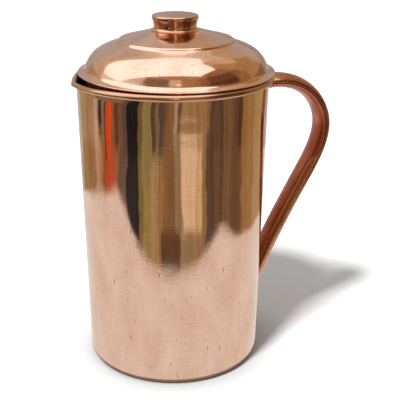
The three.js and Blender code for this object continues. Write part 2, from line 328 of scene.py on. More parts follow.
# A big white panel over the jug, long to the left: metres to the camera's right and away from it.
PANEL_HEIGHT = 1.2
PANEL_CORNERS = [(-2.8, -0.76), (0.54, -0.70), (0.62, -0.10), (0.28, 0.33), (0.20, 0.76), (-2.8, 0.76)]
across, away = facing(90), facing(180)
panel = mesh_object("panel", [
    (x * math.cos(across) + y * math.cos(away), x * math.sin(across) + y * math.sin(away), PANEL_HEIGHT)
    for x, y in PANEL_CORNERS], [tuple(range(len(PANEL_CORNERS)))])
only_reflected(panel, glowing("white_panel", "#fffafc", strength=1.6))

# Even light from all sides, which fills the lamp's shadow.
WORLD_LIGHT = 0.42
world = bpy.data.worlds.new("studio")
bpy.context.scene.world = world
world.use_nodes = True
world.node_tree.nodes["Background"].inputs["Color"].default_value = (1, 1, 1, 1)
world.node_tree.nodes["Background"].inputs["Strength"].default_value = WORLD_LIGHT

# The main lamp: a distant soft lamp in front on the left. The reflections leave it out.
KEY_BEARING = -35
KEY_HEIGHT = 57
KEY_WIDTH = 10  # degrees across, seen from the jug, so the shadow's edge is soft
KEY_STRENGTH = 4.0
key = bpy.data.lights.new("key", "SUN")
key.energy = KEY_STRENGTH
key.angle = math.radians(KEY_WIDTH)
key_lamp = bpy.data.objects.new("key", key)
angle, lift = facing(KEY_BEARING), math.radians(KEY_HEIGHT)
key_from = Vector((math.cos(angle) * math.cos(lift), math.sin(angle) * math.cos(lift), math.sin(lift)))
key_lamp.rotation_euler = key_from.to_track_quat("Z", "Y").to_euler()
key_lamp.visible_glossy = False
bpy.context.scene.collection.objects.link(key_lamp)

bpy.context.scene.view_settings.view_transform = "Standard"


# --- Wall -------------------------------------------------------------------------------------
# One sheet of 0.6 mm copper rolled into a slightly tapered tube. Its foot is turned in under a
# rounded corner, its rim is rolled outwards over a wire, and the rim is pinched into a small lip.
SHEET = 0.0006
MOUTH_RADIUS = 0.0590
BASE_RADIUS = 0.0556
CORNER_RADIUS = 0.0050
FLANGE_RADIUS = 0.0475
BEAD_RADIUS = 0.00195
BEAD_HEIGHT = 0.1853
LIP_FOOT = 0.1755  # height where the lip starts
LIP_REACH = 0.0011
LIP_SPREAD = 0.094  # this and the lip's other angles are in radians round the jug
LIP_DROP = 0.00235
DROP_SPREAD = 0.565
CHEEK_PULL = 0.00165  # how far the rim is drawn in on both sides of the lip
CHEEK_ANGLE = 0.525
CHEEK_SPREAD = 0.415
RIPPLE_DEPTH = 0.00010
RING_DEPTH = 0.00005
# How often hollows and rings come: per radian round the jug, and per metre up its side.
HOLLOWS = (6.0, 34.0)
SMALL_HOLLOWS = (15.0, 95.0)
ROLLER_RINGS = (1.5, 160.0)


def arc(centre, radius, start, end, steps):
    """Points of a profile arc, angles in degrees."""
    angles = np.radians(np.linspace(start, end, steps + 1))
    return [(centre[0] + radius * math.cos(a), centre[1] + radius * math.sin(a)) for a in angles]


def line(start, end, steps):
    """Points between two profile points, without the ends."""
    start, end = np.array(start), np.array(end)
    return [tuple(start + (end - start) * i / steps) for i in range(1, steps)]


def bezier(points, steps):
    """A quadratic or cubic curve through the plane, with both ends."""
    points = [np.array(p, float) for p in points]
    curve = []
    for i in range(steps + 1):
        share = i / steps
        level = points
        while len(level) > 1:
            level = [a + (b - a) * share for a, b in zip(level, level[1:])]
        curve.append(tuple(level[0]))
    return curve


def turning_tree():
    """Geometry nodes that turn a profile, a chain of (radius, 0, height) points, round Z."""
    tree = bpy.data.node_groups.new("turned_sheet", "GeometryNodeTree")
    for name, kind in (("Profile", "NodeSocketGeometry"), ("Segments", "NodeSocketInt"),
                       ("Centre", "NodeSocketVector"), ("Metal", "NodeSocketMaterial")):
        tree.interface.new_socket(name, in_out="INPUT", socket_type=kind)
    tree.interface.new_socket("Piece", in_out="OUTPUT", socket_type="NodeSocketGeometry")
    given = add(tree, "NodeGroupInput").outputs
    size = add(tree, "GeometryNodeAttributeDomainSize", {"Geometry": given["Profile"]})
    count = size.outputs["Point Count"]
    columns = add(tree, "ShaderNodeMath", {0: given["Segments"], 1: 1.0}, operation="ADD").outputs[0]
    # A flat grid, one row of the profile's points for each step round, is wrapped and then welded.
    grid = add(tree, "GeometryNodeMeshGrid", {"Vertices X": columns, "Vertices Y": count}).outputs["Mesh"]
    index = add(tree, "GeometryNodeInputIndex").outputs[0]
    row = add(tree, "ShaderNodeMath", {0: index, 1: count}, operation="MODULO").outputs[0]
    whole = add(tree, "ShaderNodeMath", {0: index, 1: count}, operation="DIVIDE").outputs[0]
    column = add(tree, "ShaderNodeMath", {0: whole}, operation="FLOOR").outputs[0]
    share = add(tree, "ShaderNodeMath", {
        0: column, 1: given["Segments"]}, operation="DIVIDE").outputs[0]
    angle = add(tree, "ShaderNodeMath", {0: share, 1: 2 * math.pi}, operation="MULTIPLY").outputs[0]
    position = add(tree, "GeometryNodeInputPosition").outputs[0]
    outline = add(tree, "GeometryNodeSampleIndex", {
        "Geometry": given["Profile"], "Value": position, "Index": row}, data_type="FLOAT_VECTOR").outputs[0]
    turned = add(tree, "ShaderNodeVectorRotate", {
        "Vector": outline, "Angle": angle}, rotation_type="Z_AXIS").outputs[0]
    placed = add(tree, "ShaderNodeVectorMath", {0: turned, 1: given["Centre"]}, operation="ADD").outputs[0]
    shaped = add(tree, "GeometryNodeSetPosition", {"Geometry": grid, "Position": placed}).outputs[0]
    welded = add(tree, "GeometryNodeMergeByDistance", {"Geometry": shaped, "Distance": 1e-7}).outputs[0]
    smooth = add(tree, "GeometryNodeSetShadeSmooth", {"Geometry": welded}).outputs[0]
    solid = add(tree, "GeometryNodeRealizeInstances", {"Geometry": smooth}).outputs[0]
    finished = add(tree, "GeometryNodeSetMaterial", {
        "Geometry": solid, "Material": given["Metal"]}).outputs[0]
    add(tree, "NodeGroupOutput", {"Piece": finished})
    return tree


TURNED_SHEET = turning_tree()


def turned(name, profile, material, segments=240, centre=(0, 0, 0)):
    """Turns a profile of (radius, height) points and returns the result as a plain mesh object."""
    points = [(radius, 0, height) for radius, height in profile]
    chain = mesh_object(name + "_profile", points, [])
    nodes = chain.modifiers.new("turned", "NODES")
    nodes.node_group = TURNED_SHEET
    sockets = {s.name: s.identifier for s in TURNED_SHEET.interface.items_tree if s.in_out == "INPUT"}
    nodes[sockets["Segments"]] = segments
    nodes[sockets["Centre"]] = centre
    nodes[sockets["Metal"]] = material
    bpy.context.view_layer.update()
    graph = bpy.context.evaluated_depsgraph_get()
    mesh = bpy.data.meshes.new_from_object(chain.evaluated_get(graph))
    chain.modifiers.remove(nodes)
    bpy.data.objects.remove(chain)
    mesh.name = name
    piece = bpy.data.objects.new(name, mesh)
    bpy.context.scene.collection.objects.link(piece)
    return piece


def pinch_lip(piece):
    """Pulls the rim into the pouring lip at -X and gathers it on both sides."""
    mesh = piece.data
    spots = np.empty(len(mesh.vertices) * 3)
    mesh.vertices.foreach_get("co", spots)
    x, y, z = spots.reshape(-1, 3).T
    radius = np.hypot(x, y)
    angle = np.arctan2(-y, -x)
    rise = np.clip((z - LIP_FOOT) / (BEAD_HEIGHT + BEAD_RADIUS - LIP_FOOT), 0, 1)
    grow = (rise * rise * (3 - 2 * rise)) ** 2
    nose = np.exp(-((angle / LIP_SPREAD) ** 2))
    cheek = np.exp(-(((np.abs(angle) - CHEEK_ANGLE) / CHEEK_SPREAD) ** 2))
    radius = radius + grow * (LIP_REACH * nose - CHEEK_PULL * cheek)
    height = z - grow * LIP_DROP * np.exp(-((angle / DROP_SPREAD) ** 2))
    spots = np.stack([-radius * np.cos(angle), -radius * np.sin(angle), height], 1)
    mesh.vertices.foreach_set("co", spots.ravel())
    mesh.update()


def ripple(piece):
    """Hand-rolled sheet isn't quite true: shallow upright hollows, and rings left by the roller."""
    for vertex in piece.data.vertices:
        x, y, z = vertex.co
        angle = math.atan2(y, x)
        hollow = noise.noise(Vector((angle * HOLLOWS[0], z * HOLLOWS[1], 0.0)))
        hollow += 0.35 * noise.noise(Vector((angle * SMALL_HOLLOWS[0], z * SMALL_HOLLOWS[1], 3.0)))
        ring = noise.noise(Vector((angle * ROLLER_RINGS[0], z * ROLLER_RINGS[1], 7.0)))
        # Foot and rim stay true, and the rings are strongest in the top quarter.
        side = min(max((z - 0.008) / 0.03, 0), 1) * min(max((0.182 - z) / 0.01, 0), 1)
        near_rim = min(max((z - 0.135) / 0.03, 0.08), 1)
        grow = 1 + side * (RIPPLE_DEPTH * hollow + RING_DEPTH * near_rim * ring) / MOUTH_RADIUS
        vertex.co = (x * grow, y * grow, z)


def wall_copper():
    """Polished copper sheet: a mirror with fine polishing lines that run round the jug, satin near
    the foot, with short upright scratches where it has been handled."""
    material, output = new_material("polished_copper_sheet")
    tree = material.node_tree
    place = add(tree, "ShaderNodeTexCoord").outputs["Object"]
    parts = add(tree, "ShaderNodeSeparateXYZ", {0: place}).outputs
    angle = add(tree, "ShaderNodeMath", {0: parts["Y"], 1: parts["X"]}, operation="ARCTAN2").outputs[0]
    around = add(tree, "ShaderNodeMath", {0: angle, 1: MOUTH_RADIUS}, operation="MULTIPLY").outputs[0]
    # Unrolled sheet: metres round the jug and up its side.
    sheet = add(tree, "ShaderNodeCombineXYZ", {"X": around, "Y": parts["Z"]}).outputs[0]
    # Polishing lines 17 mm long and 0.4 mm apart, coarser than real ones, so that they show.
    polish_scale = add(tree, "ShaderNodeMapping", {"Vector": sheet, "Scale": (60, 2600, 1)}).outputs[0]
    polish = add(tree, "ShaderNodeTexNoise", {
        "Vector": polish_scale, "Scale": 1.0, "Detail": 2.0, "Roughness": 0.6}).outputs["Fac"]
    # Grain of 0.7 mm, coarser than the real grain for the same reason, and clouds of 2 to 4 cm.
    grain = add(tree, "ShaderNodeTexNoise", {
        "Vector": sheet, "Scale": 1500.0, "Detail": 2.0}).outputs["Fac"]
    cloud_scale = add(tree, "ShaderNodeMapping", {"Vector": sheet, "Scale": (55, 26, 1)}).outputs[0]
    clouds = add(tree, "ShaderNodeTexNoise", {
        "Vector": cloud_scale, "Scale": 1.0, "Detail": 4.0, "Roughness": 0.55}).outputs["Fac"]
    # Satin up to 30 mm from the foot and a mirror from 115 mm up. The rolled rim is duller again.
    low = add(tree, "ShaderNodeMapRange", {
        "Value": parts["Z"], "From Min": 0.030, "From Max": 0.115, "To Min": 0.135, "To Max": 0.035,
    }, interpolation_type="SMOOTHSTEP").outputs[0]
    on_rim = add(tree, "ShaderNodeMapRange", {
        "Value": parts["Z"], "From Min": 0.1834, "From Max": 0.1838}).outputs[0]
    duller = add(tree, "ShaderNodeMath", {0: on_rim, 1: 0.10, 2: low}, operation="MULTIPLY_ADD").outputs[0]
    worn = add(tree, "ShaderNodeMath", {0: clouds, 1: 0.05, 2: duller}, operation="MULTIPLY_ADD").outputs[0]
    tone = add(tree, "ShaderNodeValToRGB", {"Fac": clouds})
    tone.color_ramp.elements[0].position = 0.35
    tone.color_ramp.elements[0].color = linear("#e2b9a0")
    tone.color_ramp.elements[1].position = 0.65
    tone.color_ramp.elements[1].color = linear("#edcab4")
    mottle = add(tree, "ShaderNodeMapRange", {
        "Value": grain, "From Min": 0.3, "From Max": 0.7, "To Min": 0.93, "To Max": 1.05}).outputs[0]
    grained = add(tree, "ShaderNodeVectorMath", {
        0: tone.outputs["Color"], 1: mottle}, operation="MULTIPLY").outputs[0]
    # Rubbing has left faint lines both round the jug and up it, 11 to 14 mm long and 0.8 mm apart.
    for scale in ((90, 1150, 1), (1250, 70, 1)):
        line_place = add(tree, "ShaderNodeMapping", {"Vector": sheet, "Scale": scale}).outputs[0]
        lines = add(tree, "ShaderNodeTexNoise", {
            "Vector": line_place, "Scale": 1.0, "Detail": 1.0}).outputs["Fac"]
        shade = add(tree, "ShaderNodeMapRange", {
            "Value": lines, "From Min": 0.3, "From Max": 0.7, "To Min": 0.955, "To Max": 1.035}).outputs[0]
        grained = add(tree, "ShaderNodeVectorMath", {0: grained, 1: shade}, operation="MULTIPLY").outputs[0]
    # Scratches 2 to 6 mm long and 0.2 mm wide, most of them low down.
    scratch_scale = add(tree, "ShaderNodeMapping", {"Vector": sheet, "Scale": (850, 110, 1)}).outputs[0]
    scratch_field = add(tree, "ShaderNodeTexNoise", {
        "Vector": scratch_scale, "Scale": 1.0, "Detail": 1.0}).outputs["Fac"]
    scratches = add(tree, "ShaderNodeMapRange", {
        "Value": scratch_field, "From Min": 0.715, "From Max": 0.765}).outputs[0]
    lower = add(tree, "ShaderNodeMapRange", {
        "Value": parts["Z"], "From Min": 0.07, "From Max": 0.12, "To Min": 0.8, "To Max": 0.35}).outputs[0]
    marks = add(tree, "ShaderNodeMath", {0: scratches, 1: lower}, operation="MULTIPLY").outputs[0]
    colour = add(tree, "ShaderNodeMix", {
        "Factor": marks, 6: grained, 7: linear("#6d4334")}, data_type="RGBA").outputs[2]
    colour = add(tree, "ShaderNodeMix", {
        "Factor": on_rim, 6: colour, 7: linear("#cda284")}, data_type="RGBA").outputs[2]
    height = add(tree, "ShaderNodeMath", {0: marks, 1: -2.0, 2: polish}, operation="MULTIPLY_ADD").outputs[0]
    relief = add(tree, "ShaderNodeBump", {
        "Strength": 0.10, "Distance": 0.0001, "Height": height}).outputs[0]
    shader = add(tree, "ShaderNodeBsdfPrincipled", {
        "Base Color": colour, "Metallic": 1.0, "Roughness": worn, "Normal": relief})
    tree.links.new(shader.outputs[0], output.inputs["Surface"])
    return material


bead = (MOUTH_RADIUS - SHEET + BEAD_RADIUS, BEAD_HEIGHT)
corner = (BASE_RADIUS - CORNER_RADIUS, CORNER_RADIUS)
bead_inner = BEAD_RADIUS - SHEET
outside_top = (bead[0] - bead_inner, BEAD_HEIGHT)
inside_top = (bead[0] - BEAD_RADIUS, BEAD_HEIGHT)
ROLL_END = math.radians(-115)  # where the sheet's edge ends, tucked in against the wall
bead_end = (bead[0] + (BEAD_RADIUS - SHEET / 2) * math.cos(ROLL_END),
            bead[1] + (BEAD_RADIUS - SHEET / 2) * math.sin(ROLL_END))
wall_profile = [
    *arc((FLANGE_RADIUS, SHEET / 2), SHEET / 2, 180, 270, 3),
    *arc(corner, CORNER_RADIUS, -90, 0, 14),
    *line((BASE_RADIUS, CORNER_RADIUS), outside_top, 100),
    *arc(bead, bead_inner, 180, -110, 20),
    *arc(bead_end, SHEET / 2, 65, -115, 4),
    *arc(bead, BEAD_RADIUS, -120, 180, 26),
    *line(inside_top, (BASE_RADIUS - SHEET, CORNER_RADIUS), 60),
    *arc(corner, CORNER_RADIUS - SHEET, 0, -90, 10),
    *arc((FLANGE_RADIUS, SHEET / 2), SHEET / 2, 90, 180, 3),
]
wall = turned("jug_wall", wall_profile, wall_copper(), segments=360)
pinch_lip(wall)
ripple(wall)
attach(wall, "jug")
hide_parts("body_wall")


# --- Base -------------------------------------------------------------------------------------
# A shallow pan pressed from the same sheet. Its edge stands up inside the wall, and it is soldered
# over the wall's turned-in foot from inside.
def satin_copper(name, colour, roughness):
    """Copper sheet left as it came from the rolls: satin, with faint cloudy tarnish. The clouds are
    about 2 cm across and the grain 0.5 mm, coarser than the real grain so that it shows."""
    material, output = new_material(name)
    tree = material.node_tree
    place = add(tree, "ShaderNodeTexCoord").outputs["Object"]
    cloud = add(tree, "ShaderNodeTexNoise", {
        "Vector": place, "Scale": 60.0, "Detail": 5.0}).outputs["Fac"]
    tarnished = [c * 0.72 for c in linear(colour)[:3]] + [1]
    tone = add(tree, "ShaderNodeMix", {
        "Factor": cloud, 6: linear(colour), 7: tarnished}, data_type="RGBA").outputs[2]
    grain = add(tree, "ShaderNodeTexNoise", {
        "Vector": place, "Scale": 2200.0, "Detail": 1.0}).outputs["Fac"]
    relief = add(tree, "ShaderNodeBump", {"Strength": 0.12, "Distance": 0.0001, "Height": grain}).outputs[0]
    shader = add(tree, "ShaderNodeBsdfPrincipled", {
        "Base Color": tone, "Metallic": 1.0, "Roughness": roughness, "Normal": relief})
    tree.links.new(shader.outputs[0], output.inputs["Surface"])
    return material


LAP = SHEET + 0.0003  # the pan lies inside the foot with a film of solder between
PAN_EDGE = CORNER_RADIUS + 0.004
WALL_LEAN = 0.00007  # how much wider the tapered wall is at the pan's edge
step_radius = FLANGE_RADIUS - 0.0006
edge_radius = BASE_RADIUS + WALL_LEAN - LAP
# Under the bottom from the axis outwards, up over the foot, round the edge, and back above.
pan_profile = [
    (0, 0), *line((-0.001, 0), (step_radius - SHEET, 0), 24)[2:],
    *bezier([(step_radius - 0.0014, 0), (step_radius - 0.0006, 0), (step_radius - 0.0003, LAP / 2),
             (step_radius, LAP), (step_radius + 0.0012, LAP)], 8),
    *arc(corner, CORNER_RADIUS - LAP, -90, 0, 10),
    *arc((edge_radius - SHEET / 2, PAN_EDGE), SHEET / 2, 0, 180, 6),
    *arc(corner, CORNER_RADIUS - LAP - SHEET, 0, -90, 10),
    *bezier([(step_radius + 0.0010, LAP + SHEET), (step_radius - 0.0004, LAP + SHEET),
             (step_radius - 0.0008, LAP), (step_radius - 0.0012, SHEET), (step_radius - 0.0022, SHEET)], 8),
    (0, SHEET),
]
base = turned("jug_base", pan_profile, satin_copper("rolled_copper_sheet", "#d09a7c", 0.34), segments=160)
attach(base, "jug")
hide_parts("base_pan")


# --- Rim wire ---------------------------------------------------------------------------------
# Drawn brass wire that the rim is rolled over to stiffen it. The sheet grips it, so it isn't
# soldered, and nothing of it shows from outside.
def drawn_brass():
    """Drawn and turned brass: yellower than copper, with rings left by the tool, 0.35 mm apart."""
    material, output = new_material("drawn_brass")
    tree = material.node_tree
    place = add(tree, "ShaderNodeTexCoord").outputs["Object"]
    rings = add(tree, "ShaderNodeTexWave", {
        "Vector": place, "Scale": 900.0, "Distortion": 1.5,
    }, wave_type="RINGS", rings_direction="Z").outputs["Fac"]
    tone = add(tree, "ShaderNodeMix", {
        "Factor": rings, 6: linear("#b8934f"), 7: linear("#a37f40")}, data_type="RGBA").outputs[2]
    relief = add(tree, "ShaderNodeBump", {"Strength": 0.1, "Distance": 0.0001, "Height": rings}).outputs[0]
    shader = add(tree, "ShaderNodeBsdfPrincipled", {
        "Base Color": tone, "Metallic": 1.0, "Roughness": 0.3, "Normal": relief})
    tree.links.new(shader.outputs[0], output.inputs["Surface"])
    return material


BRASS = drawn_brass()
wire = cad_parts["rim_wire"]
wire.data.materials.clear()
wire.data.materials.append(BRASS)


# --- Handle -----------------------------------------------------------------------------------
# A hollow bow of two pressed halves. The polished outer half laps over the edges of the reddish
# inner half; on the lower leg the outer half wraps further round. Both are brazed to the wall.
HANDLE_HALF_WIDTH = 0.0093
HANDLE_HALF_DEPTH = 0.0045
HANDLE_SHEET = 0.0009
# The bow's line: where it leaves the wall, turns down and comes back, as (X, Z) points, with the
# slope of its ends in radians and the length of each pull on its two curves.
ROOT = (0.0611, 0.1774)
ROOT_HEADING = 0.14
ROOT_PULL = 0.0276
CREST = (0.1026, 0.1461)
CREST_PULL_UP = 0.0148
CREST_PULL_DOWN = 0.0204
FOOT = (0.0627, 0.0579)
FOOT_HEADING = 1.152
FOOT_PULL = 0.0549
ROOT_SPARE = 0.003  # both ends run on into the wall and are trimmed to it
FOOT_SPARE = 0.026
STATIONS = 221  # sections along the bow
SEAM_WIDE = 92  # degrees round the section, on the bow
SEAM_SWING = 50  # how much nearer to the fingers it lies on the lower leg
SEAM_SHADE_REACH = 0.0012  # how wide a gap gets painted shade
EDGE_SIDE = 0.0072  # how far to the side the lapped edge lies on the lower leg
EDGE_WIDTH = 0.0010  # half the width of its band of painted highlight


def handle_line():
    """Centre line in the XZ plane as evenly spaced points, from wall to wall."""
    rise = np.array([math.cos(ROOT_HEADING), math.sin(ROOT_HEADING)])
    fall = np.array([math.cos(FOOT_HEADING), math.sin(FOOT_HEADING)])
    root, crest, foot = np.array(ROOT), np.array(CREST), np.array(FOOT)
    upper = bezier([root, root + rise * ROOT_PULL, crest + (0, CREST_PULL_UP), crest], 200)
    lower = bezier([crest, crest - (0, CREST_PULL_DOWN), foot + fall * FOOT_PULL, foot], 200)
    ends = tuple(root - rise * ROOT_SPARE), tuple(foot - fall * FOOT_SPARE)
    dense = np.array([ends[0], *upper, *lower[1:], ends[1]])
    travel = np.concatenate([[0], np.cumsum(np.hypot(*np.diff(dense, axis=0).T))])
    even = np.linspace(0, travel[-1], STATIONS)
    return np.stack([np.interp(even, travel, dense[:, 0]), np.interp(even, travel, dense[:, 1])], 1), even


def swept(name, section_at, material):
    """Sweeps a section along the handle's line. section_at(share) gives the closed outline there
    as (outward, sideways) points, outward being away from the fingers."""
    spots, travel = handle_line()
    along = np.gradient(spots, axis=0)
    along /= np.hypot(*along.T)[:, None]
    outward = np.stack([-along[:, 1], along[:, 0]], 1)
    points, faces = [], []
    for spot, out, share in zip(spots, outward, travel / travel[-1]):
        outline = section_at(share)
        points += [(spot[0] + out[0] * n, side, spot[1] + out[1] * n) for n, side in outline]
    rows, count = len(spots), len(outline)
    for i in range(rows - 1):
        for j in range(count):
            k = (j + 1) % count
            faces.append((i * count + j, i * count + k, (i + 1) * count + k, (i + 1) * count + j))
    faces.append(tuple(range(count)))
    faces.append(tuple((rows - 1) * count + j for j in reversed(range(count))))
    piece = mesh_object(name, points, faces)
    piece.data.shade_smooth()
    face_out(piece)
    piece.data.materials.append(material)
    return piece


def face_out(piece):
    """Turns all faces of a closed piece outwards."""
    work = bmesh.new()
    work.from_mesh(piece.data)
    bmesh.ops.recalc_face_normals(work, faces=work.faces)
    work.to_mesh(piece.data)
    work.free()


def seam_angle(share):
    """Where the lapped seam lies on the near flank: 90 degrees is the widest point, and less is
    towards the fingers. It swings inwards where the bow starts down to the lower leg."""
    swing = min(max((share - 0.40) / 0.10, 0), 1)
    swing = swing * swing * (3 - 2 * swing)
    return math.radians(SEAM_WIDE - SEAM_SWING * swing)


def ellipse_point(angle, inset=0.0):
    """A point of the handle's oval section, angle 0 at the fingers' side and 180 at the back."""
    depth, width = HANDLE_HALF_DEPTH - inset, HANDLE_HALF_WIDTH - inset
    return (-depth * math.cos(angle), width * math.sin(angle))


def whole_outline(flank):
    """The closed outline of a half: one flank, from middle to middle, and its mirror image."""
    return flank + [(n, -side) for n, side in reversed(flank[1:-1])]


def flank_arc(start, end, inset, steps=15):
    """Part of the near flank's oval, set in from the outside by a sheet's thickness or a part of it."""
    return [ellipse_point(start + (end - start) * i / steps, inset) for i in range(steps + 1)]


def shell_section(share):
    """Outer half: round the inside of the back, over the rounded edge, and back round the outside."""
    seam = seam_angle(share)
    edge = [ellipse_point(seam - turn, HANDLE_SHEET * inset)
            for turn, inset in ((0.05, 0.85), (0.08, 0.5), (0.05, 0.15))]
    return whole_outline(flank_arc(math.pi, seam, HANDLE_SHEET) + edge + flank_arc(seam, math.pi, 0))


def liner_section(share):
    """Inner half: flush at the fingers' side, its edges stepped down to slip under the outer half."""
    seam = seam_angle(share)
    tuck = HANDLE_SHEET + 0.0002  # under the outer half, with a film of braze between
    outside = flank_arc(0, seam - 0.22, 0.0)
    step = [ellipse_point(seam - 0.14, tuck * 0.25), ellipse_point(seam - 0.09, tuck * 0.8)]
    hidden = flank_arc(seam - 0.05, seam + 0.20, tuck, 3)
    inside = flank_arc(seam + 0.20, 0, tuck + HANDLE_SHEET, 15)
    return whole_outline(outside + step + hidden + inside)


def trimmed_to_wall(piece):
    """Cuts off what would reach through the wall, so that the bow's ends sit on its outside."""
    bite = 0.0002  # the ends sink this far into the wall's skin, where they are brazed
    cutter = turned("wall_cutter", [
        (0, 0.001), (BASE_RADIUS - bite, CORNER_RADIUS),
        (MOUTH_RADIUS - bite, BEAD_HEIGHT), (0, BEAD_HEIGHT),
    ], None, segments=288)
    cut = piece.modifiers.new("trim", "BOOLEAN")
    cut.operation = "DIFFERENCE"
    cut.solver = "EXACT"
    cut.object = cutter
    mesh = bpy.data.meshes.new_from_object(piece.evaluated_get(bpy.context.evaluated_depsgraph_get()))
    piece.modifiers.clear()
    mesh.name = piece.name
    piece.data = mesh
    bpy.data.objects.remove(cutter)


def handle_copper(name, clean, tarnish, roughness, speckle, edge_highlight):
    """Copper sheet pressed to shape: the polished half is bright and brown, the inner half keeps the
    red bloom of annealing. Tarnish lies in streaks of 4 to 25 mm with pits under 1 mm wide, the seams
    are darkened with painted shade, and the lapped edge has a painted highlight down the lower leg."""
    material, output = new_material(name)
    tree = material.node_tree
    # One dark brown serves both the real pits and the painted shade in the seams.
    pit_dirt_and_seam_shade = linear("#4c2c1f")
    place = add(tree, "ShaderNodeTexCoord").outputs["Object"]
    stretch = add(tree, "ShaderNodeMapping", {"Vector": place, "Scale": (70, 260, 40)}).outputs[0]
    cloud = add(tree, "ShaderNodeTexNoise", {"Vector": stretch, "Scale": 1.0, "Detail": 5.0}).outputs["Fac"]
    share = add(tree, "ShaderNodeMapRange", {
        "Value": cloud, "From Min": 0.35, "From Max": 0.65}).outputs[0]
    tone = add(tree, "ShaderNodeMix", {
        "Factor": share, 6: linear(clean), 7: linear(tarnish)}, data_type="RGBA").outputs[2]
    fine = add(tree, "ShaderNodeTexNoise", {"Vector": place, "Scale": 1300.0, "Detail": 2.0}).outputs["Fac"]
    worn = add(tree, "ShaderNodeMath", {0: share, 1: 0.1, 2: roughness}, operation="MULTIPLY_ADD").outputs[0]
    relief = add(tree, "ShaderNodeBump", {"Strength": 0.1, "Distance": 0.0001, "Height": fine}).outputs[0]
    pits = add(tree, "ShaderNodeMapRange", {
        "Value": fine, "From Min": 0.54, "From Max": 0.66, "To Max": speckle}).outputs[0]
    pitted = add(tree, "ShaderNodeMix", {"Factor": pits, 6: tone, 7: pit_dirt_and_seam_shade}, data_type="RGBA").outputs[2]
    parts = add(tree, "ShaderNodeSeparateXYZ", {0: place}).outputs
    # Painted highlight: a bright band along the lapped edge, low down on the lower leg.
    beside = add(tree, "ShaderNodeMath", {0: parts["Y"]}, operation="ABSOLUTE").outputs[0]
    on_edge = add(tree, "ShaderNodeMath", {
        0: beside, 1: EDGE_SIDE, 2: EDGE_WIDTH}, operation="COMPARE").outputs[0]
    on_leg = add(tree, "ShaderNodeMapRange", {
        "Value": parts["Z"], "From Min": 0.138, "From Max": 0.128}).outputs[0]
    painted_edge_highlight = add(tree, "ShaderNodeMath", {0: on_edge, 1: on_leg}, operation="MULTIPLY").outputs[0]
    pitted = add(tree, "ShaderNodeMix", {
        "Factor": painted_edge_highlight, 6: pitted, 7: linear(edge_highlight)}, data_type="RGBA").outputs[2]
    # Painted shade: where ambient occlusion finds a seam or a narrow gap, the colour turns dark brown.
    open_air = add(tree, "ShaderNodeAmbientOcclusion", {"Distance": SEAM_SHADE_REACH}).outputs["AO"]
    clear = add(tree, "ShaderNodeMapRange", {
        "Value": open_air, "From Min": 0.45, "From Max": 0.85}).outputs[0]
    surface = add(tree, "ShaderNodeMix", {
        "Factor": clear, 6: pit_dirt_and_seam_shade, 7: pitted}, data_type="RGBA").outputs[2]
    shader = add(tree, "ShaderNodeBsdfPrincipled", {
        "Base Color": surface, "Metallic": 1.0, "Roughness": worn, "Normal": relief})
    tree.links.new(shader.outputs[0], output.inputs["Surface"])
    return material


outer_half = swept("handle_outer_half", shell_section,
                   handle_copper("polished_pressed_copper", "#dca07c", "#bc7e5a", 0.17, 0.75, "#f4cdb4"))
inner_half = swept("handle_inner_half", liner_section,
                   handle_copper("annealed_copper_bloom", "#d88a72", "#b86c56", 0.27, 0.35, "#d88a72"))
for half, node, finish in ((outer_half, "handle_shell", "polished_copper"),
                           (inner_half, "handle_liner", "annealed_copper")):
    trimmed_to_wall(half)
    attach(half, "jug")
    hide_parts(node)


# --- Lid --------------------------------------------------------------------------------------
# Spun from one 0.8 mm sheet: flat pad for the knob, gently domed crown, a small pressed step, the
# steep dome, a crease at its foot and a brim that flares out over the rim and ends in a hem.
LID_CENTRE = (0.0024, 0, 0)
LID_SHEET = 0.0008
PAD_RADIUS = 0.0153
PAD_HEIGHT = 0.2130
SCREW_HOLE = 0.0032
BRIM_EDGE = (0.0598, 0.1885)


def offset(profile, distance):
    """The profile moved to the right of its direction by a sheet's thickness."""
    spots = np.array(profile)
    along = np.gradient(spots, axis=0)
    along /= np.hypot(*along.T)[:, None]
    return [tuple(p) for p in spots + np.stack([along[:, 1], -along[:, 0]], 1) * distance]


